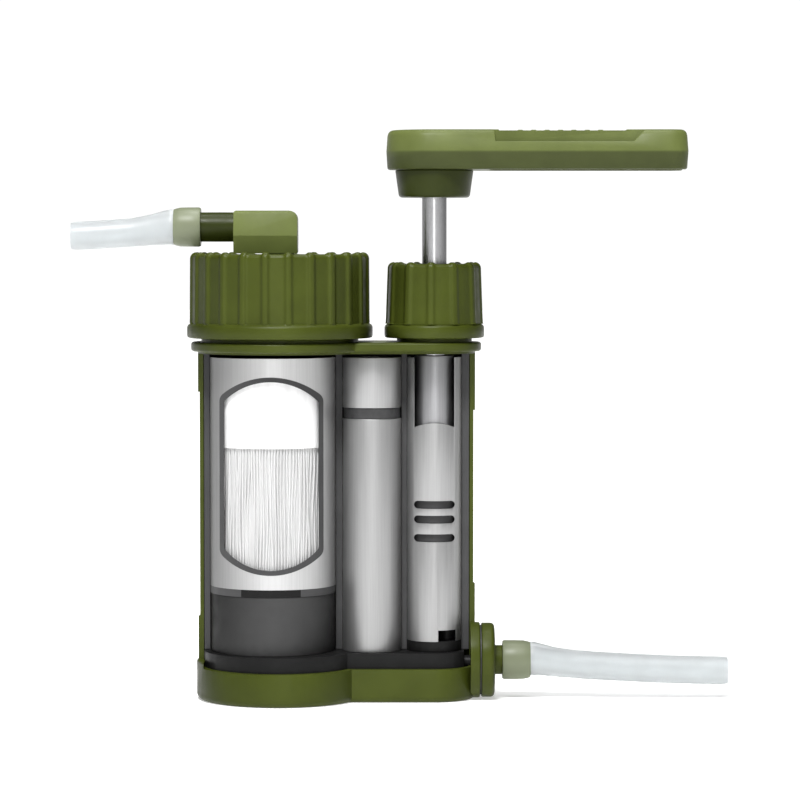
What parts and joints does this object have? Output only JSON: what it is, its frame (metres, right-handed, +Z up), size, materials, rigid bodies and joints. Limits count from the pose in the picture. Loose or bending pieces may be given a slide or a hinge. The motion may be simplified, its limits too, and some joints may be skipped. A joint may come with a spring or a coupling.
{
  "type": "water filter",
  "caption": "Hand pump water filter with a sectioned housing, screw caps, fibre and carbon stages, a piston pump, a swinging handle and two hose tails",
  "frame": {"origin": "centre of the filter cylinder on the underside of the base cap", "axes": "+X along the body from the filter towards the pump and the outlet, +Y to the back, away from the sectioned side, +Z up"},
  "size_m": [0.1976, 0.0558, 0.1709],
  "materials": {
    "green_plastic": "satin moulded olive ABS with a fine grain",
    "light_green_plastic": "satin moulded olive ABS, lighter than the housing",
    "canister_steel": "drawn along the tube",
    "polished_steel": "ground and polished",
    "dark_grey_plastic": "moulded, fine grain",
    "black_plastic": "moulded, satin",
    "black_rubber": "moulded seal rubber",
    "active_carbon": "pressed carbon grains",
    "white_fibre": "loose hollow fibres",
    "white_resin": "cast resin",
    "green_silicone": "translucent, satin",
    "clear_silicone": "translucent, satin"
  },
  "bodies": {
    "housing": {"housing_shell": "green_plastic", "base_cap": "green_plastic", "base_screws": "polished_steel", "manifold_gasket": "black_rubber", "manifold": "black_plastic", "inner_chassis": "dark_grey_plastic", "carbon_cup": "black_plastic", "carbon_block": "active_carbon", "divider_plate": "dark_grey_plastic", "transfer_spigot": "dark_grey_plastic", "filter_canister": "canister_steel", "window_bezel": "black_rubber", "canister_top_cap": "dark_grey_plastic", "canister_bottom_cap": "dark_grey_plastic", "fibre_bundle": "white_fibre", "fibre_potting": "white_resin", "riser_tube": "canister_steel", "riser_seal": "black_rubber", "upper_tube": "canister_steel", "pump_sleeve": "canister_steel", "pump_liner": "black_plastic", "valve_block": "black_plastic", "outlet_pipe": "black_plastic", "outlet_boss": "green_plastic", "outlet_seal": "black_rubber", "outlet_ring": "green_plastic", "outlet_nozzle": "green_plastic", "outlet_cuff": "green_silicone", "outlet_hose": "clear_silicone"},
    "inlet_valve": {"inlet_ball": "polished_steel"},
    "outlet_valve": {"outlet_ball": "polished_steel"},
    "filter_seal": {"cap_liner": "black_rubber"},
    "filter_closure": {"filter_cap": "green_plastic"},
    "spout": {"elbow_spout": "light_green_plastic", "stem_clip": "polished_steel", "stem_o_ring": "black_rubber", "intake_cuff": "green_silicone", "intake_hose": "clear_silicone"},
    "rod_guide": {"gland_bush": "dark_grey_plastic"},
    "pump_closure": {"pump_cap": "green_plastic", "rod_wiper": "black_rubber"},
    "piston": {"piston_head": "black_plastic", "piston_seals": "black_rubber", "plunger": "polished_steel", "piston_rod": "polished_steel", "handle_hub": "green_plastic", "handle_washer": "polished_steel", "handle_screw": "polished_steel"},
    "handle": {"handle_shell": "light_green_plastic", "handle_plug": "light_green_plastic", "handle_grip_pad": "light_green_plastic"}
  },
  "joints": [
    {"name": "pump_stroke", "type": "slide", "parent": "housing", "child": "piston", "axis": [0, 0, 1], "range_m": [-0.0195, 0.02]},
    {"name": "handle_swing", "type": "hinge", "parent": "piston", "child": "handle", "pos_m": [0.0464, 0, 0], "axis": [0, 0, 1], "range_deg": [0, 180]},
    {"name": "filter_cap_lift", "type": "slide", "parent": "housing", "child": "filter_seal", "axis": [0, 0, 1], "range_m": [0, 0.006]},
    {"name": "filter_cap_turn", "type": "hinge", "parent": "filter_seal", "child": "filter_closure", "pos_m": [0, 0, 0], "axis": [0, 0, 1], "range_deg": [0, 722]},
    {"name": "spout_swivel", "type": "hinge", "parent": "filter_seal", "child": "spout", "pos_m": [0, 0, 0], "axis": [0, 0, 1], "range_deg": [-90, 90]},
    {"name": "pump_cap_lift", "type": "slide", "parent": "housing", "child": "rod_guide", "axis": [0, 0, 1], "range_m": [0, 0.005]},
    {"name": "pump_cap_turn", "type": "hinge", "parent": "rod_guide", "child": "pump_closure", "pos_m": [0.0464, 0, 0], "axis": [0, 0, 1], "range_deg": [0, 722]},
    {"name": "inlet_valve_lift", "type": "slide", "parent": "housing", "child": "inlet_valve", "axis": [0, 0, 1], "range_m": [0, 0.0012]},
    {"name": "outlet_valve_lift", "type": "slide", "parent": "housing", "child": "outlet_valve", "axis": [0, 0, 1], "range_m": [0, 0.0012]}
  ],
  "couplings": [
    {"joint": "filter_cap_turn", "follows": "filter_cap_lift", "rad_per_m": 2094.4},
    {"joint": "pump_cap_turn", "follows": "pump_cap_lift", "rad_per_m": 2513.3}
  ]
}
